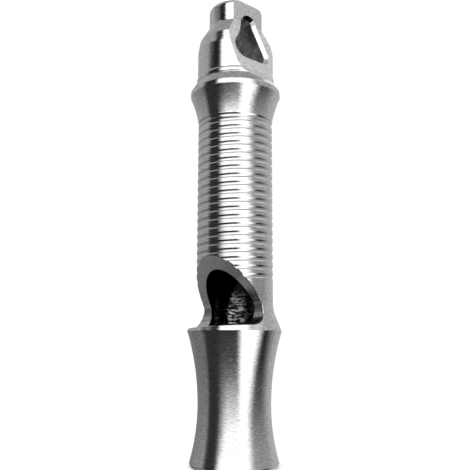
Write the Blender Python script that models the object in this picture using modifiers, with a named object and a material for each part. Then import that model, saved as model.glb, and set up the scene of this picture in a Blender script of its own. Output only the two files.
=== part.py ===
"""Dog whistle turned from metal bar, with a plug pressed into its mouth end.

The whistle stands on its mouth end at Z = 0, with its axis along +Z.
The lanyard eye runs along X, and the window faces roughly -Y.
"""

from math import acos, asin, atan2, cos, pi, radians, sin, sqrt, tan

import bmesh
import bpy
from mathutils import Matrix, Vector

MM = 0.001

# Facets
SEGMENTS = 36                     # facets round every turned surface
FILLET_STEPS = 4                  # straight pieces in a fillet
SWEEP_STEPS = 8                   # straight pieces in a long swept curve
GROOVE_STEPS = 3                  # straight pieces across the grip groove

# Bore and the walls round it
BORE_RADIUS = 3.68 * MM
TUBE_WALL = 1.22 * MM
WAIST_WALL = 0.92 * MM
MOUTH_WALL = 2.01 * MM            # at the mouth end, before its edge is rounded
BORE_CHAMFER = 0.20 * MM          # lead-in at the mouth end
DRILL_POINT_ANGLE = radians(118)  # point of the drill that made the blind end
BLIND_END_DROP = 5.2 * MM         # from the collar's crest down to the end of the full bore

# Rises and radii of the outside
SHOULDER_RISE = 1.10 * MM         # above the tube
COLLAR_RISE = 1.00 * MM           # above the tube
HEAD_RADIUS = 5.05 * MM
HEAD_BAND_RADIUS = 4.80 * MM      # at the upper edge of the head's tapered band
NUB_RADIUS = 3.55 * MM

# Lengths along the axis, from the mouth end up
WAIST_HEIGHT = 7.25 * MM          # of the narrowest place above the mouth end
MOUTHPIECE_LENGTH = 16.40 * MM
FLARE_LENGTH = 2.67 * MM          # cone from the shoulder down to the tube
TUBE_LENGTH = 27.30 * MM          # from the shoulder to where the collar begins to swell
COLLAR_SWELL_LENGTH = 3.50 * MM
COLLAR_LAND_LENGTH = 0.60 * MM
COLLAR_SLOPE_LENGTH = 1.65 * MM
HEAD_LENGTH = 4.05 * MM
HEAD_BAND_LENGTH = 1.40 * MM
HEAD_CONE_LENGTH = 2.00 * MM
NUB_LENGTH = 3.00 * MM

# Fillets of the turned outline
MOUTH_EDGE_FILLET = 0.50 * MM
FLARE_FILLET = 4.20 * MM
COLLAR_FILLET = 2.50 * MM
NUB_FILLET = 0.80 * MM
NUB_EDGE_FILLET = 0.70 * MM

# Grip groove, a right-hand helix that runs out into a ring below the collar
GROOVE_PITCH = 1.046 * MM
GROOVE_WIDTH = 0.62 * MM
GROOVE_DEPTH = 0.09 * MM
GROOVE_ZONE_LENGTH = 20.92 * MM
GROOVE_COLLAR_GAP = 0.35 * MM     # from the middle of the end ring to where the collar begins to swell
GROOVE_RING_EXTRA = 0.04 * MM     # the end ring is this much deeper than the helix
GROOVE_END_ANGLE = radians(140)   # where the helix meets the end ring

# Window
WINDOW_ANGLE = radians(-83.5)     # direction that the window faces, from +X
WINDOW_SKEW = radians(2.8)        # tilt of the notch about that direction
WINDOW_FLOOR_RISE = 0.45 * MM     # above the shoulder
WINDOW_LENGTH = 8.70 * MM         # from the floor to the top of the ramp on the tube
WINDOW_RAMP_ANGLE = radians(36.5)  # between the ramp and the axis
WINDOW_CORNER_FILLET = 2.00 * MM

# Flats milled on both sides of the head
FLATS_THICKNESS = 4.90 * MM       # across the flats on the nub
FLATS_STRAIGHT_LENGTH = 2.95 * MM  # from the top down to where the flats begin to slant
FLATS_SLANT_LENGTH = 6.45 * MM    # height of the slanted stretch
FLATS_SLANT_ANGLE = radians(13)
FLATS_RUNOUT_RADIUS = 3.20 * MM   # radius of the milling cutter

# Lanyard eye, a leaning triangle with round corners and one hollow side
EYE_TOP_WALL = 2.04 * MM          # metal left above the eye
EYE_HEIGHT = 5.98 * MM
EYE_TOP_RADIUS = 0.98 * MM
EYE_TOP_SHIFT = 0.12 * MM         # of the top corner from the axis, towards +Y
EYE_NEAR_RADIUS = 1.20 * MM       # corner on the side of the window
EYE_NEAR_REACH = 2.65 * MM        # of that corner from the axis
EYE_FAR_RADIUS = 0.97 * MM
EYE_FAR_REACH = 2.45 * MM
EYE_HOLLOW_RADIUS = 7.50 * MM     # of the side between the top and the near corner
EYE_CHAMFER = 0.43 * MM           # round both mouths of the eye

# Plug in the mouth end
PLUG_CLEARANCE = 0.20 * MM        # between the plug and the bore
PLUG_RECESS = 0.30 * MM           # of the plug's outer end inside the mouth end
PLUG_DROP = 0.30 * MM             # of the plug's inner end below the floor of the window
PLUG_CHAMFER = 0.25 * MM
WINDWAY_HEIGHT = 1.30 * MM        # between the plug's flat and the bore

CUT_MARGIN = 2.0 * MM             # how far a cutter stands out of what it cuts
MERGE_DISTANCE = 1e-7
SLIVER_LENGTH = 3e-6              # edges shorter than this are left over from a cut
SHARP_ANGLE = radians(28)
WALL_SLOPE = 0.1                  # the eye's walls lie along X within this slope

BODY_METAL = ((0.62, 0.62, 0.63, 1.0), 0.26)   # base colour and roughness
PLUG_METAL = ((0.56, 0.56, 0.57, 1.0), 0.32)

# Radii and heights that follow from the sizes above
TUBE_RADIUS = BORE_RADIUS + TUBE_WALL
WAIST_RADIUS = BORE_RADIUS + WAIST_WALL
MOUTH_RADIUS = BORE_RADIUS + MOUTH_WALL
SHOULDER_RADIUS = TUBE_RADIUS + SHOULDER_RISE
COLLAR_RADIUS = TUBE_RADIUS + COLLAR_RISE

SHOULDER_Z = MOUTHPIECE_LENGTH
WINDOW_FLOOR_Z = SHOULDER_Z + WINDOW_FLOOR_RISE
COLLAR_FOOT_Z = SHOULDER_Z + TUBE_LENGTH
COLLAR_CREST_Z = COLLAR_FOOT_Z + COLLAR_SWELL_LENGTH
COLLAR_LAND_TOP_Z = COLLAR_CREST_Z + COLLAR_LAND_LENGTH
HEAD_FOOT_Z = COLLAR_LAND_TOP_Z + COLLAR_SLOPE_LENGTH
HEAD_TOP_Z = HEAD_FOOT_Z + HEAD_LENGTH
HEAD_BAND_TOP_Z = HEAD_TOP_Z + HEAD_BAND_LENGTH
NUB_FOOT_Z = HEAD_BAND_TOP_Z + HEAD_CONE_LENGTH
TOP_Z = NUB_FOOT_Z + NUB_LENGTH
BORE_END_Z = COLLAR_CREST_Z - BLIND_END_DROP
BORE_TIP_Z = BORE_END_Z + BORE_RADIUS / tan(DRILL_POINT_ANGLE / 2)


def arc(centre, radius, start, end, steps):
    """Points along an arc, both ends included. Angles run from the first axis to the second."""
    angles = [start + (end - start) * step / steps for step in range(steps + 1)]
    return [(centre[0] + radius * cos(angle), centre[1] + radius * sin(angle)) for angle in angles]


def fillet(before, corner, after, radius):
    """Points of the arc that rounds a corner between two straight lines."""
    corner = Vector(corner)
    to_before = (Vector(before) - corner).normalized()
    to_after = (Vector(after) - corner).normalized()
    half_angle = to_before.angle(to_after) / 2
    centre = corner + (to_before + to_after).normalized() * (radius / sin(half_angle))
    first = corner + to_before * (radius / tan(half_angle)) - centre
    last = corner + to_after * (radius / tan(half_angle)) - centre
    start = atan2(first.y, first.x)
    turn = (atan2(last.y, last.x) - start + pi) % (2 * pi) - pi
    return arc(centre, radius, start, start + turn, FILLET_STEPS)


def swell(foot, edge):
    """Points of the arc that leaves the foot along the axis and swells out to the edge."""
    rise = edge[0] - foot[0]
    run = edge[1] - foot[1]
    radius = (rise * rise + run * run) / (2 * rise)
    opening = asin(run / radius)
    return arc((foot[0] + radius, foot[1]), radius, pi, pi - opening, SWEEP_STEPS)


def new_collection(name):
    collection = bpy.data.collections.new(name)
    bpy.context.scene.collection.children.link(collection)
    return collection


def metal(name, colour, roughness):
    material = bpy.data.materials.new(name)
    material.use_nodes = True
    shader = material.node_tree.nodes["Principled BSDF"]
    shader.inputs["Base Color"].default_value = colour
    shader.inputs["Metallic"].default_value = 1.0
    shader.inputs["Roughness"].default_value = roughness
    return material


def evaluated_mesh(item):
    """The mesh of an object as its modifiers leave it."""
    graph = bpy.context.evaluated_depsgraph_get()
    return bpy.data.meshes.new_from_object(item.evaluated_get(graph))


def outline_object(name, points, closed, collection):
    """A profile of edges in the XZ plane, ready for a Screw modifier."""
    count = len(points)
    edges = [(index, index + 1) for index in range(count - 1)]
    if closed:
        edges.append((count - 1, 0))
    mesh = bpy.data.meshes.new(name)
    mesh.from_pydata([(radius, 0.0, height) for radius, height in points], edges, [])
    item = bpy.data.objects.new(name, mesh)
    collection.objects.link(item)
    return item


def turned(name, points, collection, closed=False, pitch=0.0, turns=1):
    """A profile turned about Z. With a pitch it climbs as it turns."""
    item = outline_object(name, points, closed, collection)
    screw = item.modifiers.new("turn", "SCREW")
    screw.steps = SEGMENTS
    screw.render_steps = SEGMENTS
    screw.screw_offset = pitch
    screw.iterations = turns
    screw.use_merge_vertices = pitch == 0.0
    screw.merge_threshold = MERGE_DISTANCE
    item.data = evaluated_mesh(item)
    item.modifiers.clear()
    return item


def close_mesh(item):
    """Weld the mesh, fill its open ends and point its faces outwards."""
    shape = bmesh.new()
    shape.from_mesh(item.data)
    bmesh.ops.remove_doubles(shape, verts=shape.verts, dist=MERGE_DISTANCE)
    open_edges = [edge for edge in shape.edges if edge.is_boundary]
    bmesh.ops.holes_fill(shape, edges=open_edges)
    bmesh.ops.recalc_face_normals(shape, faces=shape.faces)
    shape.to_mesh(item.data)
    shape.free()


def prism(name, points, half_depth, angle, collection, height=0.0, skew=0.0):
    """A flat outline in the plane of Z and the given direction, extruded to both sides.

    Its heights count from the given height, and the skew tilts it about that direction.
    """
    curve = bpy.data.curves.new(name, "CURVE")
    curve.dimensions = "2D"
    curve.fill_mode = "BOTH"
    curve.extrude = half_depth
    spline = curve.splines.new("POLY")
    spline.points.add(len(points) - 1)
    for point, (across, rise) in zip(spline.points, points):
        point.co = (across, rise, 0.0, 1.0)
    spline.use_cyclic_u = True
    drawing = bpy.data.objects.new(name + "_outline", curve)
    collection.objects.link(drawing)
    item = bpy.data.objects.new(name, evaluated_mesh(drawing))
    turn = Matrix.Rotation(angle, 4, "Z") @ Matrix.Rotation(pi / 2 + skew, 4, "X")
    item.matrix_world = Matrix.Translation((0.0, 0.0, height)) @ turn
    collection.objects.link(item)
    bpy.data.objects.remove(drawing)
    close_mesh(item)
    return item


def cut(item, cutters):
    """Cut a part with each cutter in turn."""
    for cutter in cutters:
        cutter.hide_render = True
        cutter.display_type = "WIRE"
        boolean = item.modifiers.new(cutter.name, "BOOLEAN")
        boolean.operation = "DIFFERENCE"
        boolean.solver = "EXACT"
        boolean.object = cutter


def freeze(item):
    """Keep the shape that the cuts leave."""
    bpy.context.view_layer.update()
    item.data = evaluated_mesh(item)
    item.modifiers.clear()


def finish(item, material):
    """Keep the cut shape, shade it and give it its metal."""
    freeze(item)
    shape = bmesh.new()
    shape.from_mesh(item.data)
    bmesh.ops.dissolve_degenerate(shape, dist=SLIVER_LENGTH, edges=shape.edges)
    shape.to_mesh(item.data)
    shape.free()
    item.data.name = item.name
    item.data.materials.clear()
    item.data.materials.append(material)
    item.data.shade_smooth()
    item.data.set_sharp_from_angle(angle=SHARP_ANGLE)


def body_profile():
    """Half section of the whistle: down the outside from the top, then up the bore."""
    top = (0.0, TOP_Z)
    top_edge = (NUB_RADIUS, TOP_Z)
    nub_foot = (NUB_RADIUS, NUB_FOOT_Z)
    band_top = (HEAD_BAND_RADIUS, HEAD_BAND_TOP_Z)
    head_top = (HEAD_RADIUS, HEAD_TOP_Z)
    head_foot = (HEAD_RADIUS, HEAD_FOOT_Z)
    land_top = (COLLAR_RADIUS, COLLAR_LAND_TOP_Z)
    crest = (COLLAR_RADIUS, COLLAR_CREST_Z)
    collar_foot = (TUBE_RADIUS, COLLAR_FOOT_Z)
    flare_top = (TUBE_RADIUS, SHOULDER_Z + FLARE_LENGTH)
    shoulder = (SHOULDER_RADIUS, SHOULDER_Z)
    waist = (WAIST_RADIUS, WAIST_HEIGHT)
    mouth_edge = (MOUTH_RADIUS, 0.0)
    bore_mouth = (BORE_RADIUS + BORE_CHAMFER, 0.0)

    upper_sweep = swell(waist, shoulder)
    lower_sweep = swell(waist, mouth_edge)
    points = [top]
    points += fillet(top, top_edge, nub_foot, NUB_EDGE_FILLET)
    points += fillet(top_edge, nub_foot, band_top, NUB_FILLET)
    points += [band_top, head_top]
    points += fillet(head_top, head_foot, land_top, COLLAR_FILLET)
    points += [land_top]
    points += reversed(swell(collar_foot, crest))
    points += fillet(collar_foot, flare_top, shoulder, FLARE_FILLET)
    points += reversed(upper_sweep)
    points += lower_sweep[1:-1]
    points += fillet(lower_sweep[-2], mouth_edge, bore_mouth, MOUTH_EDGE_FILLET)
    points += [bore_mouth, (BORE_RADIUS, BORE_CHAMFER), (BORE_RADIUS, BORE_END_Z), (0.0, BORE_TIP_Z)]
    return points


def groove_section(height, depth):
    """Closed section of the groove cutter: up its round bottom, then down outside the tube."""
    half_width = GROOVE_WIDTH / 2
    radius = (half_width * half_width + depth * depth) / (2 * depth)
    centre = (TUBE_RADIUS - depth + radius, height)
    opening = asin(half_width / radius) * (GROOVE_STEPS + 1) / GROOVE_STEPS
    bottom = arc(centre, radius, pi + opening, pi - opening, GROOVE_STEPS)
    outside = TUBE_RADIUS + CUT_MARGIN
    return bottom + [(outside, bottom[-1][1]), (outside, bottom[0][1])]


def groove_cutters(collection):
    """The helical grip groove and the ring that it ends in."""
    ring_z = COLLAR_FOOT_Z - GROOVE_COLLAR_GAP
    turns = round(GROOVE_ZONE_LENGTH / GROOVE_PITCH)
    helix_z = ring_z - turns * GROOVE_PITCH
    section = groove_section(helix_z, GROOVE_DEPTH)
    helix = turned("groove_helix", section, collection, True, GROOVE_PITCH, turns)
    helix.rotation_euler.z = GROOVE_END_ANGLE
    close_mesh(helix)
    ring = turned("groove_ring", groove_section(ring_z, GROOVE_DEPTH + GROOVE_RING_EXTRA), collection, True)
    close_mesh(ring)
    return [helix, ring]


def window_cutter(collection):
    """The notch between the flat floor and the slanted ramp of the window."""
    inner = (TUBE_RADIUS - WINDOW_LENGTH * tan(WINDOW_RAMP_ANGLE), 0.0)
    reach = SHOULDER_RADIUS + CUT_MARGIN
    floor_end = (reach, 0.0)
    ramp_end = (reach, (reach - inner[0]) / tan(WINDOW_RAMP_ANGLE))
    outline = fillet(ramp_end, inner, floor_end, WINDOW_CORNER_FILLET) + [floor_end, ramp_end]
    return prism("window", outline, reach, WINDOW_ANGLE, collection, WINDOW_FLOOR_Z, WINDOW_SKEW)


def flat_cutters(collection):
    """What is milled off both sides of the head."""
    half = FLATS_THICKNESS / 2
    slant_top_z = TOP_Z - FLATS_STRAIGHT_LENGTH
    slant_foot = (half + FLATS_SLANT_LENGTH * tan(FLATS_SLANT_ANGLE), slant_top_z - FLATS_SLANT_LENGTH)
    centre = (slant_foot[0] + FLATS_RUNOUT_RADIUS * cos(FLATS_SLANT_ANGLE),
              slant_foot[1] + FLATS_RUNOUT_RADIUS * sin(FLATS_SLANT_ANGLE))
    runout = arc(centre, FLATS_RUNOUT_RADIUS, pi + FLATS_SLANT_ANGLE, 1.5 * pi, SWEEP_STEPS)
    reach = max(centre[0], COLLAR_RADIUS) + CUT_MARGIN
    above = TOP_Z + CUT_MARGIN
    outline = [(half, above), (half, slant_top_z)] + runout + [(reach, runout[-1][1]), (reach, above)]
    depth = COLLAR_RADIUS + CUT_MARGIN
    return [prism("flat_right", outline, depth, 0.0, collection),
            prism("flat_left", outline, depth, pi, collection)]


def side_angle(first, second):
    """Direction that the straight side between two round corners faces, going anticlockwise."""
    step = second[0] - first[0]
    return atan2(step.y, step.x) - acos((first[1] - second[1]) / step.length)


def hollow_centre(first, second):
    """Centre of the hollow side that touches two round corners from outside, going anticlockwise."""
    step = second[0] - first[0]
    reach_first = EYE_HOLLOW_RADIUS + first[1]
    reach_second = EYE_HOLLOW_RADIUS + second[1]
    along = (reach_first ** 2 - reach_second ** 2 + step.length_squared) / (2 * step.length)
    out = sqrt(reach_first ** 2 - along ** 2)
    forward = step.normalized()
    return first[0] + forward * along + Vector((forward.y, -forward.x)) * out


def eye_cutter(collection):
    """The lanyard eye: three round corners, two straight sides and a hollow one."""
    top_z = TOP_Z - EYE_TOP_WALL
    low_z = top_z - EYE_HEIGHT
    top = (Vector((EYE_TOP_SHIFT, top_z - EYE_TOP_RADIUS)), EYE_TOP_RADIUS)
    near = (Vector((EYE_NEAR_RADIUS - EYE_NEAR_REACH, low_z + EYE_NEAR_RADIUS)), EYE_NEAR_RADIUS)
    far = (Vector((EYE_FAR_REACH - EYE_FAR_RADIUS, low_z + EYE_FAR_RADIUS)), EYE_FAR_RADIUS)
    hollow = hollow_centre(top, near)
    to_top = top[0] - hollow
    to_near = near[0] - hollow
    top_angle = atan2(to_top.y, to_top.x)
    near_angle = atan2(to_near.y, to_near.x)
    floor_angle = side_angle(near, far)
    far_angle = side_angle(far, top)
    outline = arc(far[0], far[1], floor_angle, far_angle, FILLET_STEPS)
    outline += arc(top[0], top[1], far_angle, top_angle + pi, 2 * FILLET_STEPS)
    outline += arc(hollow, EYE_HOLLOW_RADIUS, top_angle, near_angle, FILLET_STEPS)[1:-1]
    outline += arc(near[0], near[1], near_angle + pi, floor_angle + 2 * pi, FILLET_STEPS)
    return prism("eye", outline, HEAD_RADIUS + CUT_MARGIN, pi / 2, collection)


def chamfer_eye(item):
    """Break the edges where the eye's walls meet the flats."""
    eye_top_z = TOP_Z - EYE_TOP_WALL + MERGE_DISTANCE
    shape = bmesh.new()
    shape.from_mesh(item.data)
    rims = []
    for edge in shape.edges:
        slopes = sorted(abs(face.normal.x) for face in edge.link_faces)
        below_top = all(corner.co.z < eye_top_z for corner in edge.verts)
        if below_top and slopes[0] < WALL_SLOPE and slopes[1] > 1.0 - WALL_SLOPE:
            rims.append(edge)
    bmesh.ops.bevel(shape, geom=rims, offset=EYE_CHAMFER, segments=1, profile=0.5, affect="EDGES")
    shape.to_mesh(item.data)
    shape.free()


def whistle_body(parts, cutters):
    body = turned("whistle_body", body_profile(), parts)
    cut(body, flat_cutters(cutters) + [eye_cutter(cutters)])
    freeze(body)
    chamfer_eye(body)
    cut(body, [window_cutter(cutters)] + groove_cutters(cutters))
    finish(body, metal("turned_metal", *BODY_METAL))
    return body


def fipple_plug(parts, cutters):
    radius = BORE_RADIUS - PLUG_CLEARANCE
    length = WINDOW_FLOOR_Z - PLUG_DROP - PLUG_RECESS
    inner_end = [(0.0, length), (radius, length)]
    outer_end = [(radius, PLUG_CHAMFER), (radius - PLUG_CHAMFER, 0.0), (0.0, 0.0)]
    plug = turned("fipple_plug", inner_end + outer_end, parts)
    plug.location.z = PLUG_RECESS
    flat = BORE_RADIUS - WINDWAY_HEIGHT
    outside = radius + CUT_MARGIN
    below = -CUT_MARGIN
    above = WINDOW_FLOOR_Z + CUT_MARGIN
    outline = [(flat, below), (outside, below), (outside, above), (flat, above)]
    cut(plug, [prism("windway", outline, outside, WINDOW_ANGLE, cutters)])
    finish(plug, metal("plug_metal", *PLUG_METAL))
    return plug


def main():
    for item in list(bpy.data.objects):
        bpy.data.objects.remove(item)
    parts = new_collection("dog_whistle")
    cutters = new_collection("cutters")
    mouth_end = bpy.data.objects.new("mouth_end", None)
    parts.objects.link(mouth_end)
    for part in (whistle_body(parts, cutters), fipple_plug(parts, cutters)):
        part.parent = mouth_end


main()
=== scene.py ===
"""Looks of a dog whistle: a turned, milled and drilled steel body, and the plug in its mouth end."""

from math import acos, atan2, copysign, cos, hypot, pi, radians, sin, sqrt, tan

import bmesh
import bpy
from mathutils import Euler, Matrix, Vector


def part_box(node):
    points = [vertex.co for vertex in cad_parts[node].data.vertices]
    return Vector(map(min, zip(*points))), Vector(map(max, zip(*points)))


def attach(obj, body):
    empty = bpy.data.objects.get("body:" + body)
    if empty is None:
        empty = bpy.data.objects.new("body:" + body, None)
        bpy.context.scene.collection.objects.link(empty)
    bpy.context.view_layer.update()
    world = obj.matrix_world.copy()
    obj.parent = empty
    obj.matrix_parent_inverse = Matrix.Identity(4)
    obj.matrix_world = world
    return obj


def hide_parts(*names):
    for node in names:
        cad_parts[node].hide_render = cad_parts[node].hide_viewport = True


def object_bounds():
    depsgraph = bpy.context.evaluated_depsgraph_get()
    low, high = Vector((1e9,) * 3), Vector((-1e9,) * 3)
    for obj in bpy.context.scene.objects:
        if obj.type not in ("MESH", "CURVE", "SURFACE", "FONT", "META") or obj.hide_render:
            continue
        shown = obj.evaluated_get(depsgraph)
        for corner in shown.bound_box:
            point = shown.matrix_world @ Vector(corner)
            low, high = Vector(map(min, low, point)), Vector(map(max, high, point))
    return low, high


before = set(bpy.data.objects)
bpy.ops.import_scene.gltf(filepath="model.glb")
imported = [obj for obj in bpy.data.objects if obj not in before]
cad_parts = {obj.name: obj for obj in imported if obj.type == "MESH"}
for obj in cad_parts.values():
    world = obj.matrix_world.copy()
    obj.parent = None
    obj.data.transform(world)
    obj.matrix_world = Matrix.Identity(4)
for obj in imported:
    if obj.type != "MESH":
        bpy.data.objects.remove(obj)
cad_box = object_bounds()

MM = 0.001
BODY_NODE = "whistle_body"
PLUG_NODE = "fipple_plug"

# Fineness of the meshes
SEGMENTS = 192                    # facets round every turned surface
ROUND_STEPS = 8                   # straight pieces in a fillet
EYE_STEPS = 12                    # straight pieces in a corner of the eye
SWELL_STEPS = 36                  # straight pieces in a long curve
GROOVE_STEPS = 3                  # straight pieces in each bottom corner of the grip groove
GUARD = 0.12 * MM                 # distance of the support rings beside a curve
LONG_LINE = 4 * GUARD             # a straight line that is longer gets support rings
WELD = 1e-7                       # points that are closer are one point
SHARP_ANGLE = radians(24)         # edges that bend more are shaded sharp
CUT_MARGIN = 2.0 * MM             # how far a cutter stands out of what it cuts

# Radii of the turned outline
BORE_RADIUS = 3.68 * MM
TUBE_RADIUS = 4.90 * MM
WAIST_RADIUS = 4.60 * MM
MOUTH_RADIUS = 5.69 * MM
SHOULDER_RADIUS = cad_box[1].x - WELD
COLLAR_RADIUS = 5.95 * MM
NECK_RADIUS = 5.11 * MM
BEAD_RADIUS = 5.17 * MM
HEAD_RADIUS = 5.05 * MM
BAND_RADIUS = 4.80 * MM
NUB_RADIUS = 3.55 * MM

# Heights of the turned outline above the mouth end
WAIST_Z = 7.25 * MM
SHOULDER_Z = 16.40 * MM
FLARE_TOP_Z = 19.07 * MM
COLLAR_FOOT_Z = 43.70 * MM
COLLAR_CREST_Z = 47.20 * MM
COLLAR_TOP_Z = 47.80 * MM
HEAD_FOOT_Z = 49.80 * MM
NECK_Z = 49.06 * MM
HEAD_TOP_Z = 53.50 * MM
BAND_TOP_Z = 54.90 * MM
NUB_FOOT_Z = 56.90 * MM
TOP_Z = cad_box[1].z
BORE_END_Z = 42.00 * MM
DRILL_POINT_ANGLE = radians(118)
BORE_CHAMFER = 0.20 * MM

# Fillets and broken edges of the turned outline
NUB_EDGE_FILLET = 0.70 * MM
NUB_FILLET = 0.80 * MM
COLLAR_TURN = radians(14)         # from the foot of the collar to its crest
FLARE_FILLET = 4.20 * MM
MOUTH_EDGE_FILLET = 0.50 * MM
EDGE_BREAK = 0.12 * MM            # of the head's band
COLLAR_BREAK = 0.25 * MM          # of the collar's upper edge
BEAD_SLOPE = 0.20 * MM            # from the foot of the head down to the bead's crest
BEAD_HEIGHT = 0.58 * MM           # from the foot of the head down to the bead's foot
BEAD_ROUND = 0.12 * MM

# Grip groove
GROOVE_PITCH = 1.046 * MM
GROOVE_WIDTH = 0.59 * MM
GROOVE_DEPTH = 0.07 * MM
GROOVE_LOW_WALL = 0.14 * MM       # heights of its slanted walls
GROOVE_HIGH_WALL = 0.21 * MM
GROOVE_CORNER = 0.08 * MM         # radius between a wall and the bottom
GROOVE_OVERSHOOT = 0.03 * MM      # how far the slanted walls of the tool stand out of the tube
GROOVE_TURNS = 20
GROOVE_RING_Z = COLLAR_FOOT_Z - 0.35 * MM
GROOVE_RING_EXTRA = 0.04 * MM     # how much deeper the ring is
GROOVE_END_ANGLE = radians(140)   # direction in which the groove starts and ends

# Window
WINDOW_ANGLE = radians(-83.5)     # direction that it faces
WINDOW_SKEW = radians(2.8)        # of its floor, to one side
WINDOW_FLOOR_Z = 16.85 * MM
WINDOW_LENGTH = 8.70 * MM
WINDOW_RAMP_ANGLE = radians(36.5)
WINDOW_FILLET = 2.00 * MM
WINDOW_BREAK = 0.05 * MM

# Flats and eye of the head
FLATS_THICKNESS = 4.90 * MM
FLATS_SLANT_Z = TOP_Z - 2.95 * MM
FLATS_SLANT_LENGTH = 6.45 * MM
FLATS_SLANT_ANGLE = radians(13)
FLATS_RUNOUT_RADIUS = 3.20 * MM
EYE_TOP_Z = TOP_Z - 2.04 * MM
EYE_HEIGHT = 5.98 * MM
EYE_TOP_RADIUS = 0.98 * MM
EYE_TOP_SHIFT = 0.12 * MM         # of its top from the axis
EYE_NEAR_RADIUS = 1.20 * MM
EYE_NEAR_REACH = 2.65 * MM        # from the axis to the outside of a lower corner
EYE_FAR_RADIUS = 0.97 * MM
EYE_FAR_REACH = 2.45 * MM
EYE_HOLLOW_RADIUS = 7.50 * MM
EYE_CHAMFER = 0.43 * MM
# the rim's faces that look down are given painted shade
EYE_TOP_SLOPE = -0.55             # faces of the rim that look down more steeply are its top
WALL_FACING = 0.1                 # most that a wall of the eye faces along it
FLAT_FACING = 0.9                 # least that a flat of the head faces along the eye

# Plug
PLUG_RADIUS = 3.48 * MM
PLUG_CHAMFER = 0.25 * MM
WINDWAY_HEIGHT = 1.30 * MM

# Camera, found from the photograph
CAMERA_BEARING = radians(-42)     # direction of the camera from the axis
CAMERA_DISTANCE = 83.5 * MM
CAMERA_HEIGHT = 14.8 * MM
CAMERA_PITCH = radians(9.47)
CAMERA_ROLL = radians(0.18)
CAMERA_LENS = 50.0                # in millimetres, as a Blender camera takes it
SENSOR_WIDTH = 36.0

# Floor and lights
FLOOR_RADIUS = 3000 * MM
FLOOR_SEGMENTS = 96
ROOM_LIGHT = 1.05                 # strength of the white all round
SOFTBOX_BEARING = CAMERA_BEARING - radians(8)
SOFTBOX_DISTANCE = 300 * MM
SOFTBOX_HEIGHT = 230 * MM
SOFTBOX_AIM_Z = 30 * MM
SOFTBOX_SIZE = 400 * MM
SOFTBOX_POWER = 1.0

# Paper that the steel reflects
SHEET_STEPS = 360                 # points round a whole level sheet
SWEEP_SEGMENTS = 64
SWEEP_RINGS = 32
SWEEP_RADIUS = 800 * MM
SWEEP_CENTRE = (0.0, 0.0, TOP_Z / 2)
# Zones of the sweep, each laid over those before it, in degrees of bearing from the camera and of elevation:
# the bearings where a zone begins and is full, its level, and the elevations over which it comes in.
# Four numbers in place of one are two elevations, and the values at them.
ALL_ROUND = (-181, -180)
ALL_HEIGHTS = (-91, -90)
SWEEP_ZONES = (
    (*ALL_ROUND, 0.05, ALL_HEIGHTS),                                               # black flag behind
    (-172, -160, (-20, 25, 0.20, 0.50), ALL_HEIGHTS),                              # grey paper
    (*ALL_ROUND, 0.34, (-26, -36)),                                                # grey floor
    (-114, -100, 0.03, (29, 31)),                                                  # small black flag
    (*ALL_ROUND, 0.50, (34, 36)),                                                  # grey paper over it
    ((26, 29, -94, -80), (26, 29, -78, -64), (12, 24, 0.04, 0.01), ALL_HEIGHTS),   # black flag
    ((16, 28, -55, -48), (2, 22, -16, -41), (-24, 9, 0.06, 1.75), ALL_HEIGHTS),    # scrim, dark below
    (5, 25, 1.85, ALL_HEIGHTS),                                                    # white paper
    ((-40, 0, 62, 28), (-40, 0, 94, 60), (-21, 13, 0.02, 0.45), ALL_HEIGHTS),      # grey, dark below
    (-94, -78, 0.02, (-44, -60)),                                                  # black floor
    (85, 130, (-20, 20, 0.54, 0.60), ALL_HEIGHTS),                                 # light grey paper
    (45, 65, 1.00, (30, 40)),                                                      # white paper, high up
    (158, 166, 1.10, ALL_HEIGHTS),                                                 # white paper behind
    (171, 179, 0.05, ALL_HEIGHTS),                                                 # black flag behind
    (*ALL_ROUND, 0.42, (48, 57)),                                                  # grey ceiling
)


# Drawing and turning

def deselect_all():
    bpy.ops.object.select_all(action="DESELECT")


def select_only(item):
    deselect_all()
    item.select_set(True)
    bpy.context.view_layer.objects.active = item


def edit(item):
    """Go into edit mode on one object."""
    select_only(item)
    bpy.ops.object.mode_set(mode="EDIT")


def leave_edit():
    bpy.ops.object.mode_set(mode="OBJECT")


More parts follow.
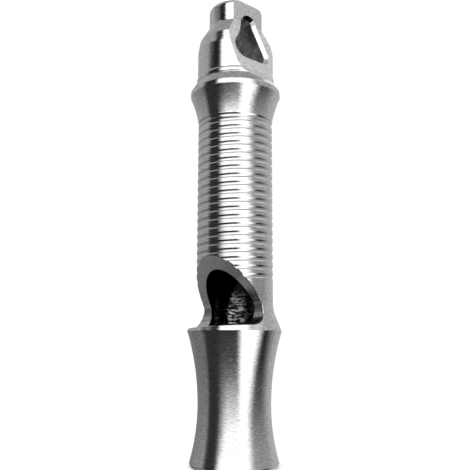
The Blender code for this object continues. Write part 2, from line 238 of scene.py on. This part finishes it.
class Pen:
    """Draws a section in the XZ plane by pulling a vertex along lines and arcs."""

    def __init__(self, name, start):
        deselect_all()
        bpy.ops.mesh.primitive_plane_add(size=MM, location=(0.0, 0.0, 0.0))
        self.item = bpy.context.object
        self.item.name = name
        self.item.data.name = name
        edit(self.item)
        bpy.ops.mesh.select_mode(type="VERT")
        bpy.ops.mesh.select_all(action="SELECT")
        bpy.ops.mesh.merge(type="CENTER")
        self.place = Vector((0.0, 0.0))
        self.pull(Vector(start), extrude=False)

    def pull(self, target, extrude=True):
        """Take the vertex to a point, and draw a line behind it or not."""
        step = target - self.place
        value = (step.x, 0.0, step.y)
        if extrude:
            bpy.ops.mesh.extrude_region_move(TRANSFORM_OT_translate={"value": value})
        else:
            bpy.ops.transform.translate(value=value)
        self.place = target

    def line(self, target, guarded=True):
        """A straight line, with a support vertex near each end of a long one."""
        target = Vector(target)
        step = target - self.place
        if step.length < WELD:
            return
        if guarded and step.length > LONG_LINE:
            nudge = step.normalized() * GUARD
            first, last = self.place + nudge, target - nudge
            self.pull(first)
            self.pull(last)
        self.pull(target)

    def arc(self, centre, angle, steps):
        """An arc about a centre. A positive angle turns from +X towards +Z."""
        centre = Vector(centre)
        bpy.ops.mesh.spin(steps=steps, angle=angle, center=(centre.x, 0.0, centre.y), axis=(0.0, 1.0, 0.0))
        self.place = centre + Matrix.Rotation(angle, 2) @ (self.place - centre)

    def corner(self, corner, after, radius, steps=ROUND_STEPS, guarded=True):
        """A line to a rounded corner and round it, towards the point after it."""
        corner = Vector(corner)
        to_before = (self.place - corner).normalized()
        to_after = (Vector(after) - corner).normalized()
        half = to_before.angle(to_after) / 2
        reach = radius / tan(half)
        centre = corner + (to_before + to_after).normalized() * (radius / sin(half))
        self.line(corner + to_before * reach, guarded)
        first = self.place - centre
        last = corner + to_after * reach - centre
        turn = (atan2(last.y, last.x) - atan2(first.y, first.x) + pi) % (2 * pi) - pi
        self.arc(centre, turn, steps)

    def turned(self):
        """Spin the finished section round the axis."""
        bpy.ops.mesh.select_all(action="SELECT")
        bpy.ops.mesh.spin(steps=SEGMENTS, angle=2 * pi, center=(0.0, 0.0, 0.0), axis=(0.0, 0.0, 1.0))
        return self.closed()

    def cut_out(self, half_depth):
        """Fill the finished outline and pull it to both sides of its plane."""
        bpy.ops.mesh.select_all(action="SELECT")
        bpy.ops.mesh.remove_doubles(threshold=WELD)
        bpy.ops.mesh.select_all(action="SELECT")
        bpy.ops.mesh.edge_face_add()
        bpy.ops.transform.translate(value=(0.0, -half_depth, 0.0))
        bpy.ops.mesh.extrude_region_move(TRANSFORM_OT_translate={"value": (0.0, 2 * half_depth, 0.0)})
        return self.closed()

    def closed(self):
        """Weld the finished shape, and turn its faces outwards."""
        bpy.ops.mesh.select_all(action="SELECT")
        bpy.ops.mesh.remove_doubles(threshold=WELD)
        bpy.ops.mesh.normals_make_consistent(inside=False)
        leave_edit()
        return self.item


def swell_arc(foot, edge, turn=None):
    """Centre, turn and radius of the hollow arc from the foot out to the edge.

    With no turn given, the arc leaves the foot along the axis.
    """
    foot = Vector(foot)
    step = Vector(edge) - foot
    turn = turn or 2 * atan2(step.x, abs(step.y))
    radius = step.length / (2 * sin(turn / 2))
    outward = Vector((abs(step.y), -step.x if step.y > 0 else step.x)).normalized()
    return foot + step / 2 + outward * radius * cos(turn / 2), copysign(turn, step.y), radius


def apply_modifiers(item):
    select_only(item)
    for modifier in list(item.modifiers):
        bpy.ops.object.modifier_apply(modifier=modifier.name)


def cut(item, cutter, finish):
    """Cut a piece. The faces that the tool leaves take the finish of the tool."""
    cutter.data.materials.clear()
    cutter.data.materials.append(finish)
    boolean = item.modifiers.new(cutter.name, "BOOLEAN")
    boolean.operation = "DIFFERENCE"
    boolean.solver = "EXACT"
    boolean.material_mode = "TRANSFER"
    boolean.object = cutter
    apply_modifiers(item)
    bpy.data.objects.remove(cutter)


def select_edges(item, wanted):
    """Select the edges that a test picks by their faces and place."""
    bpy.ops.mesh.select_mode(type="EDGE")
    bpy.ops.mesh.select_all(action="DESELECT")
    shape = bmesh.from_edit_mesh(item.data)
    for edge in shape.edges:
        edge.select_set(len(edge.link_faces) == 2 and wanted(edge))
    shape.select_flush_mode()
    bmesh.update_edit_mesh(item.data)


# Materials

LATHE_STRETCH = 0.6               # how far lathe lines draw a highlight out
QUARTER_TURN = 0.25               # of the direction in which they do


def srgb(code):
    """Linear colour of an sRGB hex code."""
    parts = [int(code[start:start + 2], 16) / 255 for start in (1, 3, 5)]
    linear = [part / 12.92 if part <= 0.04045 else ((part + 0.055) / 1.055) ** 2.4 for part in parts]
    return (*linear, 1.0)


def add_node(tree, kind, inputs=None, **settings):
    """Add a node with its settings. An input is a value, or the socket that feeds it."""
    item = tree.nodes.new(kind)
    for name, value in settings.items():
        setattr(item, name, value)
    for name, value in (inputs or {}).items():
        if isinstance(value, bpy.types.NodeSocket):
            tree.links.new(value, item.inputs[name])
        else:
            item.inputs[name].default_value = value
    return item


def bare_steel(name, colours, roughness, grain, relief, spread=(0.3, 0.7), fade=None):
    """Bare steel with a grain. Colours and roughness go from the hollows of the grain to its crests.

    The spread is the range of the noise that makes the grain. The grain fades out upwards between the two
    heights of the fade, where there is one; bright crests then make a painted highlight that dies away
    upwards.
    """
    material = bpy.data.materials.new(name)
    material.use_nodes = True
    tree = material.node_tree
    shader = tree.nodes["Principled BSDF"]
    shader.inputs["Metallic"].default_value = 1.0
    place = add_node(tree, "ShaderNodeTexCoord")
    stretch = add_node(tree, "ShaderNodeMapping", {
        "Vector": place.outputs["Object"], "Scale": tuple(1.0 / size for size in grain)})
    lines = add_node(tree, "ShaderNodeTexNoise", {
        "Vector": stretch.outputs["Vector"], "Scale": 1.0, "Detail": 3.0, "Roughness": 0.6})
    crest = 1.0
    if fade:
        parts = add_node(tree, "ShaderNodeSeparateXYZ", {"Vector": place.outputs["Object"]})
        crest = add_node(tree, "ShaderNodeMapRange", {
            "Value": parts.outputs["Z"], "From Min": fade[0], "From Max": fade[1],
            "To Min": 1.0, "To Max": 0.0}).outputs["Result"]
    height = add_node(tree, "ShaderNodeMapRange", {
        "Value": lines.outputs["Fac"], "From Min": spread[0], "From Max": spread[1],
        "To Max": crest}).outputs["Result"]
    colour = add_node(tree, "ShaderNodeMix", {
        "Factor": height, "A": srgb(colours[0]), "B": srgb(colours[1])}, data_type="RGBA")
    rub = add_node(tree, "ShaderNodeMapRange", {
        "Value": height, "To Min": roughness[0], "To Max": roughness[1]})
    bump = add_node(tree, "ShaderNodeBump", {"Height": height, "Distance": relief})
    tree.links.new(colour.outputs["Result"], shader.inputs["Base Color"])
    tree.links.new(rub.outputs["Result"], shader.inputs["Roughness"])
    tree.links.new(bump.outputs["Normal"], shader.inputs["Normal"])
    return material


def brush_round_axis(material):
    """Stretch the highlights along the axis, across the lines that the lathe leaves."""
    tree = material.node_tree
    shader = tree.nodes["Principled BSDF"]
    shader.inputs["Anisotropic"].default_value = LATHE_STRETCH
    shader.inputs["Anisotropic Rotation"].default_value = QUARTER_TURN
    round_axis = add_node(tree, "ShaderNodeTangent", direction_type="RADIAL", axis="Z")
    tree.links.new(round_axis.outputs["Tangent"], shader.inputs["Tangent"])
    return material


# Stainless steel off the lathe: fine lines round the axis, which draw a highlight out along it.
# The lines are drawn 0.15 mm wide, wider than real ones, so that they show.
TURNED = brush_round_axis(bare_steel(
    "turned_stainless_steel", colours=("#b6b6b7", "#eaeaea"), roughness=(0.14, 0.20),
    grain=(0.5 * MM, 0.5 * MM, 0.15 * MM), relief=0.0008 * MM))
# The grip groove and the broken edge of the window, cut by a sharp tool: smoother than what is beside them.
GROOVED = bare_steel(
    "tool_cut_stainless_steel", colours=("#c4c4c5", "#d2d2d2"), roughness=(0.12, 0.18),
    grain=(5 * MM, 5 * MM, 0.10 * MM), relief=0.0008 * MM)
# Flats milled on the head: an even, satin grey with a faint mottle.
MILLED = bare_steel(
    "milled_stainless_steel", colours=("#bebebf", "#f0f0f0"), roughness=(0.40, 0.48),
    grain=(0.35 * MM, 0.35 * MM, 0.35 * MM), relief=0.002 * MM)
# The window, cut by an end mill: a darker grey, and smoother than the flats.
WINDOW_STEEL = bare_steel(
    "end_milled_stainless_steel", colours=("#bebebf", "#d6d6d6"), roughness=(0.20, 0.28),
    grain=(0.5 * MM, 0.5 * MM, 0.5 * MM), relief=0.002 * MM)
# Walls of the eye, left rough by the drill and the file: dull, and dark with painted shade inside the eye.
EYE_STEEL_PAINTED_SHADE = bare_steel(
    "filed_steel_painted_shade", colours=("#6e6e6f", "#c4c4c5"), roughness=(0.34, 0.46),
    grain=(1.1 * MM, 1.1 * MM, 1.1 * MM), relief=0.02 * MM)
# The broken edge round the eye: a bright, satin rim.
RIM = bare_steel(
    "deburred_stainless_steel", colours=("#d8d8d9", "#e6e6e6"), roughness=(0.28, 0.36),
    grain=(0.3 * MM, 0.3 * MM, 0.3 * MM), relief=0.001 * MM)
# The drilled chamber: painted shade, near black, with rings that the drill left,
# whose crests carry a painted highlight near the window's floor.
# The rings are drawn 0.24 mm wide, wider than real ones, so that they show.
BORE_SHADE_AND_HIGHLIGHT = bare_steel(
    "drilled_steel_painted_shade_and_highlight", colours=("#0c0c0d", "#e4e4e4"), roughness=(0.10, 0.18),
    grain=(0.8 * MM, 0.8 * MM, 0.24 * MM), relief=0.004 * MM,
    spread=(0.46, 0.78), fade=(17.0 * MM, 22.0 * MM))
# The plug, turned from a thinner bar: much as the body, and a little duller.
PLUG_STEEL = brush_round_axis(bare_steel(
    "turned_plug_steel", colours=("#b4b4b6", "#c4c4c5"), roughness=(0.28, 0.36),
    grain=(5 * MM, 5 * MM, 0.12 * MM), relief=0.0012 * MM))


# Body

def body_blank():
    """The turned and drilled body, before anything is milled."""
    top_edge = (NUB_RADIUS, TOP_Z)
    nub_foot = (NUB_RADIUS, NUB_FOOT_Z)
    band_top = (BAND_RADIUS, BAND_TOP_Z)
    head_top = (HEAD_RADIUS, HEAD_TOP_Z)
    head_foot = (HEAD_RADIUS, HEAD_FOOT_Z)
    bead_top = (BEAD_RADIUS, HEAD_FOOT_Z - BEAD_SLOPE)
    bead_foot = (BEAD_RADIUS, HEAD_FOOT_Z - BEAD_HEIGHT)
    neck = (NECK_RADIUS, NECK_Z)
    collar_top = (COLLAR_RADIUS, COLLAR_TOP_Z)
    collar_crest = (COLLAR_RADIUS, COLLAR_CREST_Z)
    collar_foot = (TUBE_RADIUS, COLLAR_FOOT_Z)
    flare_top = (TUBE_RADIUS, FLARE_TOP_Z)
    shoulder = (SHOULDER_RADIUS, SHOULDER_Z)
    waist = (WAIST_RADIUS, WAIST_Z)
    mouth_edge = (MOUTH_RADIUS, 0.0)
    bore_mouth = (BORE_RADIUS + BORE_CHAMFER, 0.0)
    bore_tip_z = BORE_END_Z + BORE_RADIUS / tan(DRILL_POINT_ANGLE / 2)

    pen = Pen("whistle_body_steel", (0.0, TOP_Z))
    pen.corner(top_edge, nub_foot, NUB_EDGE_FILLET)
    pen.corner(nub_foot, band_top, NUB_FILLET)
    pen.corner(band_top, head_top, EDGE_BREAK)
    pen.corner(head_top, head_foot, EDGE_BREAK)
    pen.corner(head_foot, bead_top, BEAD_ROUND)
    pen.corner(bead_top, bead_foot, BEAD_ROUND)
    pen.corner(bead_foot, neck, BEAD_ROUND)
    pen.corner(neck, collar_top, BEAD_ROUND)
    pen.corner(collar_top, collar_crest, COLLAR_BREAK)
    pen.line(collar_crest)
    centre, opening, _ = swell_arc(collar_foot, collar_crest, COLLAR_TURN)
    pen.arc(centre, opening, SWELL_STEPS)
    pen.corner(flare_top, shoulder, FLARE_FILLET)
    pen.line(shoulder)
    centre, opening, _ = swell_arc(waist, shoulder)
    pen.arc(centre, opening, SWELL_STEPS)
    centre, opening, radius = swell_arc(waist, mouth_edge)
    rounded = MOUTH_EDGE_FILLET / radius
    pen.arc(centre, -opening - rounded, SWELL_STEPS)
    pen.corner(mouth_edge, bore_mouth, MOUTH_EDGE_FILLET)
    pen.line(bore_mouth)
    pen.line((BORE_RADIUS, BORE_CHAMFER))
    pen.line((BORE_RADIUS, BORE_END_Z))
    pen.line((0.0, bore_tip_z))
    body = pen.turned()

    body.data.materials.append(TURNED)
    body.data.materials.append(BORE_SHADE_AND_HIGHLIGHT)
    painted_shade = body.data.materials.find(BORE_SHADE_AND_HIGHLIGHT.name)
    # The bore's faces take the chamber's painted shade and highlight.
    for face in body.data.polygons:
        corners = [body.data.vertices[index].co for index in face.vertices]
        widest = max(hypot(corner.x, corner.y) for corner in corners)
        if widest < BORE_RADIUS + WELD and face.center.z < bore_tip_z:
            face.material_index = painted_shade
    return body


def flat_cutter(angle):
    """What is milled off one side of the head."""
    half = FLATS_THICKNESS / 2
    slant_width = FLATS_SLANT_LENGTH * tan(FLATS_SLANT_ANGLE)
    slant_end = Vector((half + slant_width, FLATS_SLANT_Z - FLATS_SLANT_LENGTH))
    centre = slant_end + FLATS_RUNOUT_RADIUS * Vector((cos(FLATS_SLANT_ANGLE), sin(FLATS_SLANT_ANGLE)))
    reach = centre.x + CUT_MARGIN
    above = TOP_Z + CUT_MARGIN
    pen = Pen("flat_cutter", (half, above))
    pen.line((half, FLATS_SLANT_Z), False)
    pen.line(slant_end, False)
    pen.arc(centre, pi / 2 - FLATS_SLANT_ANGLE, SWELL_STEPS)
    pen.line((reach, pen.place.y), False)
    pen.line((reach, above), False)
    pen.line((half, above), False)
    cutter = pen.cut_out(COLLAR_RADIUS + CUT_MARGIN)
    cutter.rotation_euler.z = angle
    return cutter


def side_angle(first, second):
    """Direction that the straight side between two round corners faces, going anticlockwise."""
    step = second[0] - first[0]
    return atan2(step.y, step.x) - acos((first[1] - second[1]) / step.length)


def hollow_centre(first, second):
    """Centre of the hollow side that touches two round corners from outside, going anticlockwise."""
    step = second[0] - first[0]
    reach_first = EYE_HOLLOW_RADIUS + first[1]
    reach_second = EYE_HOLLOW_RADIUS + second[1]
    along = (reach_first ** 2 - reach_second ** 2 + step.length_squared) / (2 * step.length)
    out = sqrt(reach_first ** 2 - along ** 2)
    forward = step.normalized()
    return first[0] + forward * along + Vector((forward.y, -forward.x)) * out


def on_round(corner, angle):
    """Point of a round corner in one direction."""
    return corner[0] + corner[1] * Vector((cos(angle), sin(angle)))


def eye_cutter():
    """The lanyard eye: three round corners, two straight sides and a hollow one."""
    low_z = EYE_TOP_Z - EYE_HEIGHT
    top = (Vector((EYE_TOP_SHIFT, EYE_TOP_Z - EYE_TOP_RADIUS)), EYE_TOP_RADIUS)
    near = (Vector((EYE_NEAR_RADIUS - EYE_NEAR_REACH, low_z + EYE_NEAR_RADIUS)), EYE_NEAR_RADIUS)
    far = (Vector((EYE_FAR_REACH - EYE_FAR_RADIUS, low_z + EYE_FAR_RADIUS)), EYE_FAR_RADIUS)
    hollow = hollow_centre(top, near)
    to_top = top[0] - hollow
    to_near = near[0] - hollow
    top_angle = atan2(to_top.y, to_top.x)
    near_angle = atan2(to_near.y, to_near.x)
    floor_angle = side_angle(near, far)
    far_angle = side_angle(far, top)
    pen = Pen("eye_cutter", on_round(far, floor_angle))
    pen.arc(far[0], far_angle - floor_angle, EYE_STEPS)
    pen.line(on_round(top, far_angle), False)
    pen.arc(top[0], top_angle + pi - far_angle, 2 * EYE_STEPS)
    pen.arc(hollow, near_angle - top_angle, EYE_STEPS)
    pen.arc(near[0], floor_angle + pi - near_angle, EYE_STEPS)
    pen.line(on_round(far, floor_angle), False)
    cutter = pen.cut_out(HEAD_RADIUS + CUT_MARGIN)
    cutter.rotation_euler.z = pi / 2
    return cutter


def window_cutter():
    """The notch between the flat floor and the slanted ramp of the window."""
    inner = TUBE_RADIUS - WINDOW_LENGTH * tan(WINDOW_RAMP_ANGLE)
    reach = SHOULDER_RADIUS + CUT_MARGIN
    ramp_end = (reach, (reach - inner) / tan(WINDOW_RAMP_ANGLE))
    pen = Pen("window_cutter", ramp_end)
    pen.corner((inner, 0.0), (reach, 0.0), WINDOW_FILLET, SWELL_STEPS)
    pen.line((reach, 0.0), False)
    pen.line(ramp_end, False)
    cutter = pen.cut_out(reach)
    cutter.rotation_euler = Euler((WINDOW_SKEW, 0.0, WINDOW_ANGLE))
    cutter.location.z = WINDOW_FLOOR_Z
    return cutter


def groove_section(name, height, depth):
    """Section of the groove's tool: slanted walls, a flat bottom, and a block outside the tube."""
    half = GROOVE_WIDTH / 2
    low_spread = GROOVE_OVERSHOOT * GROOVE_LOW_WALL / depth
    high_spread = GROOVE_OVERSHOOT * GROOVE_HIGH_WALL / depth
    outside = TUBE_RADIUS + CUT_MARGIN
    lip = TUBE_RADIUS + GROOVE_OVERSHOOT
    bottom = TUBE_RADIUS - depth
    low_lip = (lip, height - half - low_spread)
    high_lip = (lip, height + half + high_spread)
    low_bottom = (bottom, height - half + GROOVE_LOW_WALL)
    high_bottom = (bottom, height + half - GROOVE_HIGH_WALL)
    pen = Pen(name, low_lip)
    pen.corner(low_bottom, high_bottom, GROOVE_CORNER, GROOVE_STEPS, False)
    pen.corner(high_bottom, high_lip, GROOVE_CORNER, GROOVE_STEPS, False)
    pen.line(high_lip, False)
    pen.line((outside, high_lip[1]), False)
    pen.line((outside, low_lip[1]), False)
    pen.line(low_lip, False)
    return pen


def groove_cutters():
    """The helical grip groove, and the ring that it ends in."""
    pen = groove_section("groove_helix", GROOVE_RING_Z - GROOVE_TURNS * GROOVE_PITCH, GROOVE_DEPTH)
    bpy.ops.mesh.select_all(action="SELECT")
    bpy.ops.mesh.remove_doubles(threshold=WELD)
    leave_edit()
    helix = pen.item
    screw = helix.modifiers.new("climb", "SCREW")
    screw.steps = SEGMENTS
    screw.render_steps = SEGMENTS
    screw.screw_offset = GROOVE_PITCH
    screw.iterations = GROOVE_TURNS
    screw.use_merge_vertices = False
    apply_modifiers(helix)
    edit(helix)
    bpy.ops.mesh.select_all(action="SELECT")
    bpy.ops.mesh.remove_doubles(threshold=WELD)
    bpy.ops.mesh.select_all(action="DESELECT")
    bpy.ops.mesh.select_non_manifold()
    bpy.ops.mesh.edge_face_add()
    bpy.ops.mesh.select_all(action="SELECT")
    bpy.ops.mesh.normals_make_consistent(inside=False)
    leave_edit()
    helix.rotation_euler.z = GROOVE_END_ANGLE
    ring = groove_section("groove_ring", GROOVE_RING_Z, GROOVE_DEPTH + GROOVE_RING_EXTRA).turned()
    return [helix, ring]


def break_edges(body, wanted, width, finish):
    """Bevel the edges that a test picks. The new faces take the finish."""
    body.data.materials.append(finish)
    edit(body)
    select_edges(body, wanted)
    bpy.ops.mesh.bevel(offset=width, segments=1, affect="EDGES", material=len(body.data.materials) - 1)
    leave_edit()


def on_eye_rim(edge):
    """A test for the edges where the eye cuts the flats of the head."""
    wall, flat = sorted(abs(face.normal.x) for face in edge.link_faces)
    below_top = all(corner.co.z < EYE_TOP_Z + WELD for corner in edge.verts)
    return below_top and wall < WALL_FACING and flat > FLAT_FACING


def paint_shade_on_eye_top(body):
    """The faces of the eye's rim that look down take the chamber's painted shade, so that the rim's top is
    dark.
    """
    rim, painted_shade = [body.data.materials.find(finish.name) for finish in (RIM, BORE_SHADE_AND_HIGHLIGHT)]
    for face in body.data.polygons:
        if face.material_index == rim and face.normal.z < EYE_TOP_SLOPE:
            face.material_index = painted_shade


def on_window_rim(body):
    """A test for the edges where the window cuts the outside of the body."""
    pair = {body.data.materials.find(finish.name) for finish in (TURNED, WINDOW_STEEL)}
    return lambda edge: {face.material_index for face in edge.link_faces} == pair


def shade(item):
    """Smooth the round faces, and keep the edges between different finishes sharp."""
    edit(item)
    select_edges(item, lambda edge: edge.link_faces[0].material_index != edge.link_faces[1].material_index)
    bpy.ops.mesh.mark_sharp()
    leave_edit()
    select_only(item)
    bpy.ops.object.shade_smooth_by_angle(angle=SHARP_ANGLE, keep_sharp_edges=True)


def make_body():
    """The body: turned, milled, its edges broken, and the grip groove cut."""
    body = body_blank()
    cut(body, flat_cutter(0.0), MILLED)
    cut(body, flat_cutter(pi), MILLED)
    # The eye's walls take painted shade.
    cut(body, eye_cutter(), EYE_STEEL_PAINTED_SHADE)
    break_edges(body, on_eye_rim, EYE_CHAMFER, RIM)
    paint_shade_on_eye_top(body)
    cut(body, window_cutter(), WINDOW_STEEL)
    break_edges(body, on_window_rim(body), WINDOW_BREAK, GROOVED)
    for cutter in groove_cutters():
        cut(body, cutter, GROOVED)
    shade(body)
    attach(body, "root")
    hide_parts(BODY_NODE)


def make_plug():
    """The plug: a turned pin with a chamfered end and a flat along it for the windway."""
    low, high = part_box(PLUG_NODE)
    pen = Pen("fipple_plug_steel", (0.0, high.z))
    pen.line((PLUG_RADIUS, high.z))
    pen.line((PLUG_RADIUS, low.z + PLUG_CHAMFER))
    pen.line((PLUG_RADIUS - PLUG_CHAMFER, low.z))
    pen.line((0.0, low.z))
    plug = pen.turned()
    plug.data.materials.append(PLUG_STEEL)
    flat = BORE_RADIUS - WINDWAY_HEIGHT
    pen = Pen("windway_cutter", (flat, low.z - CUT_MARGIN))
    pen.line((BORE_RADIUS + CUT_MARGIN, low.z - CUT_MARGIN), False)
    pen.line((BORE_RADIUS + CUT_MARGIN, high.z + CUT_MARGIN), False)
    pen.line((flat, high.z + CUT_MARGIN), False)
    pen.line((flat, low.z - CUT_MARGIN), False)
    cutter = pen.cut_out(BORE_RADIUS + CUT_MARGIN)
    cutter.rotation_euler.z = WINDOW_ANGLE
    cut(plug, cutter, MILLED)
    shade(plug)
    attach(plug, "root")
    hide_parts(PLUG_NODE)


# Studio

def reflected_only(item):
    """Make a part of the studio that shows in the steel, and neither to the camera nor on the floor."""
    item.visible_camera = False
    item.visible_diffuse = False
    item.visible_transmission = False
    item.visible_shadow = False


def glowing_paper(name):
    """A material that glows on its front and is clear from behind, the tree it is made in, and its glow."""
    material = bpy.data.materials.new(name)
    material.use_nodes = True
    tree = material.node_tree
    tree.nodes.clear()
    glow = add_node(tree, "ShaderNodeEmission")
    clear = add_node(tree, "ShaderNodeBsdfTransparent")
    side = add_node(tree, "ShaderNodeNewGeometry")
    sheet = add_node(tree, "ShaderNodeMixShader", {
        "Fac": side.outputs["Backfacing"], 1: glow.outputs["Emission"], 2: clear.outputs["BSDF"]})
    add_node(tree, "ShaderNodeOutputMaterial", {"Surface": sheet.outputs["Shader"]})
    return material, tree, glow


def make_sweep():
    """Paper that goes all round the whistle, which the steel reflects.

    Its level changes softly with the bearing from the camera, to the right, and with the elevation. Both
    are in degrees. From the left: grey, a black flag, a scrim that darkens downwards, white, and grey.
    """
    deselect_all()
    bpy.ops.mesh.primitive_uv_sphere_add(
        segments=SWEEP_SEGMENTS, ring_count=SWEEP_RINGS, radius=SWEEP_RADIUS, location=SWEEP_CENTRE)
    item = bpy.context.object
    item.name = "sweep"
    edit(item)
    bpy.ops.mesh.select_all(action="SELECT")
    bpy.ops.mesh.flip_normals()
    leave_edit()
    material, tree, glow = glowing_paper("sweep_paper")

    place = add_node(tree, "ShaderNodeTexCoord")
    turned = add_node(tree, "ShaderNodeMapping", {
        "Vector": place.outputs["Object"], "Rotation": (0.0, 0.0, -CAMERA_BEARING)})
    aim = add_node(tree, "ShaderNodeVectorMath", {0: turned.outputs["Vector"]}, operation="NORMALIZE")
    parts = add_node(tree, "ShaderNodeSeparateXYZ", {"Vector": aim.outputs["Vector"]})
    turn = add_node(tree, "ShaderNodeMath", {
        0: parts.outputs["Y"], 1: parts.outputs["X"]}, operation="ARCTAN2")
    rise = add_node(tree, "ShaderNodeMath", {0: parts.outputs["Z"]}, operation="ARCSINE")
    bearing, elevation = [
        add_node(tree, "ShaderNodeMath", {0: angle.outputs["Value"]}, operation="DEGREES").outputs["Value"]
        for angle in (turn, rise)]
    level = 0.0
    for begins, full, tone, heights in SWEEP_ZONES:
        settings = []
        for setting in (begins, full, tone):
            if isinstance(setting, tuple):
                setting = add_node(tree, "ShaderNodeMapRange", {
                    "Value": elevation, "From Min": setting[0], "From Max": setting[1],
                    "To Min": setting[2], "To Max": setting[3]},
                    interpolation_type="SMOOTHSTEP").outputs["Result"]
            settings.append(setting)
        across = add_node(tree, "ShaderNodeMapRange", {
            "Value": bearing, "From Min": settings[0], "From Max": settings[1]},
            interpolation_type="SMOOTHSTEP")
        upwards = add_node(tree, "ShaderNodeMapRange", {
            "Value": elevation, "From Min": heights[0], "From Max": heights[1]},
            interpolation_type="SMOOTHSTEP")
        amount = add_node(tree, "ShaderNodeMath", {
            0: across.outputs["Result"], 1: upwards.outputs["Result"]}, operation="MULTIPLY")
        level = add_node(tree, "ShaderNodeMix", {
            "Factor": amount.outputs["Value"], "A": level, "B": settings[2]}).outputs["Result"]
    tree.links.new(level, glow.inputs["Strength"])
    item.data.materials.append(material)
    reflected_only(item)


def make_sheet(name, bearings, reach, height, fade_bearing, fade_reach, levels):
    """A level sheet round part of the whistle, which glows upwards.

    It lies between two bearings from the camera and two distances from the axis. Its level changes towards
    one bearing, between two distances along it.
    """
    deselect_all()
    bpy.ops.mesh.primitive_circle_add(vertices=SHEET_STEPS, radius=reach[0], location=(0.0, 0.0, 0.0))
    item = bpy.context.object
    item.name = name
    edit(item)
    bpy.ops.mesh.select_mode(type="VERT")
    bpy.ops.mesh.select_all(action="DESELECT")
    shape = bmesh.from_edit_mesh(item.data)
    middle = CAMERA_BEARING + radians(sum(bearings)) / 2
    spread = radians(bearings[1] - bearings[0]) / 2
    for corner in shape.verts:
        away = (atan2(corner.co.y, corner.co.x) - middle + pi) % (2 * pi) - pi
        corner.select_set(abs(away) > spread)
    shape.select_flush_mode()
    bmesh.update_edit_mesh(item.data)
    bpy.ops.mesh.delete(type="VERT")
    bpy.ops.mesh.select_all(action="SELECT")
    bpy.ops.transform.translate(value=(0.0, 0.0, height))
    bpy.ops.mesh.extrude_region_move()
    scale = reach[1] / reach[0]
    bpy.ops.transform.resize(value=(scale, scale, 1.0), center_override=(0.0, 0.0, height))
    bpy.ops.mesh.select_all(action="SELECT")
    bpy.ops.mesh.normals_make_consistent(inside=False)
    shape = bmesh.from_edit_mesh(item.data)
    if any(face.normal.z < 0 for face in shape.faces):
        bpy.ops.mesh.flip_normals()
    leave_edit()
    material, tree, glow = glowing_paper(name + "_paper")
    place = add_node(tree, "ShaderNodeTexCoord")
    turned = add_node(tree, "ShaderNodeMapping", {
        "Vector": place.outputs["Object"],
        "Rotation": (0.0, 0.0, -CAMERA_BEARING - radians(fade_bearing))})
    parts = add_node(tree, "ShaderNodeSeparateXYZ", {"Vector": turned.outputs["Vector"]})
    level = add_node(tree, "ShaderNodeMapRange", {
        "Value": parts.outputs["X"], "From Min": fade_reach[0], "From Max": fade_reach[1],
        "To Min": levels[0], "To Max": levels[1]})
    tree.links.new(level.outputs["Result"], glow.inputs["Strength"])
    item.data.materials.append(material)
    reflected_only(item)


def make_floor():
    """White paper, which the steel doesn't reflect."""
    deselect_all()
    bpy.ops.mesh.primitive_circle_add(
        vertices=FLOOR_SEGMENTS, radius=FLOOR_RADIUS, fill_type="NGON", location=(0.0, 0.0, 0.0))
    floor = bpy.context.object
    floor.name = "floor"
    material = bpy.data.materials.new("white_paper")
    material.use_nodes = True
    shader = material.node_tree.nodes["Principled BSDF"]
    shader.inputs["Base Color"].default_value = srgb("#f9f9f9")
    shader.inputs["Roughness"].default_value = 0.9
    shader.inputs["Specular IOR Level"].default_value = 0.0
    floor.data.materials.append(material)
    floor.visible_glossy = False


def make_world():
    """White light from all round."""
    world = bpy.data.worlds.new("white_studio")
    bpy.context.scene.world = world
    world.use_nodes = True
    background = world.node_tree.nodes["Background"]
    background.inputs["Color"].default_value = srgb("#ffffff")
    background.inputs["Strength"].default_value = ROOM_LIGHT


def make_softbox():
    """A broad light in front of the whistle, above the camera."""
    light = bpy.data.lights.new("front_softbox", "AREA")
    light.shape = "SQUARE"
    light.size = SOFTBOX_SIZE
    light.energy = SOFTBOX_POWER
    item = bpy.data.objects.new("front_softbox", light)
    bpy.context.scene.collection.objects.link(item)
    item.location = SOFTBOX_DISTANCE * Vector((cos(SOFTBOX_BEARING), sin(SOFTBOX_BEARING), 0.0))
    item.location.z = SOFTBOX_HEIGHT
    toward = Vector((0.0, 0.0, SOFTBOX_AIM_Z)) - item.location
    item.rotation_euler = toward.to_track_quat("-Z", "Y").to_euler()
    item.visible_glossy = False


def make_camera():
    """The camera, where the photograph was taken from."""
    lens = bpy.data.cameras.new("camera")
    lens.lens = CAMERA_LENS
    lens.sensor_width = SENSOR_WIDTH
    lens.clip_start = MM
    camera = bpy.data.objects.new("camera", lens)
    bpy.context.scene.collection.objects.link(camera)
    stand = Vector((cos(CAMERA_BEARING), sin(CAMERA_BEARING), 0.0)) * CAMERA_DISTANCE
    stand.z = CAMERA_HEIGHT
    facing = Matrix.Rotation(CAMERA_BEARING + pi / 2, 4, "Z")
    tilt = Matrix.Rotation(pi / 2 + CAMERA_PITCH, 4, "X")
    roll = Matrix.Rotation(CAMERA_ROLL, 4, "Z")
    camera.matrix_world = Matrix.Translation(stand) @ facing @ tilt @ roll
    bpy.context.scene.camera = camera


make_body()
make_plug()
make_floor()
make_world()
make_softbox()
make_sweep()
# The mat lights the window from below
make_sheet(
    "mat", bearings=(-125, -80), reach=(9 * MM, 40 * MM), height=0.05 * MM,
    fade_bearing=-115, fade_reach=(12 * MM, 33 * MM), levels=(0.02, 0.32))
# The shelf keeps the grip and the collar darker than the mouthpiece
make_sheet(
    "shelf", bearings=(-60, 8), reach=(8 * MM, 300 * MM), height=15 * MM,
    fade_bearing=40, fade_reach=(15 * MM, 130 * MM), levels=(0.03, 0.52))
make_camera()
bpy.context.scene.view_settings.view_transform = "Standard"
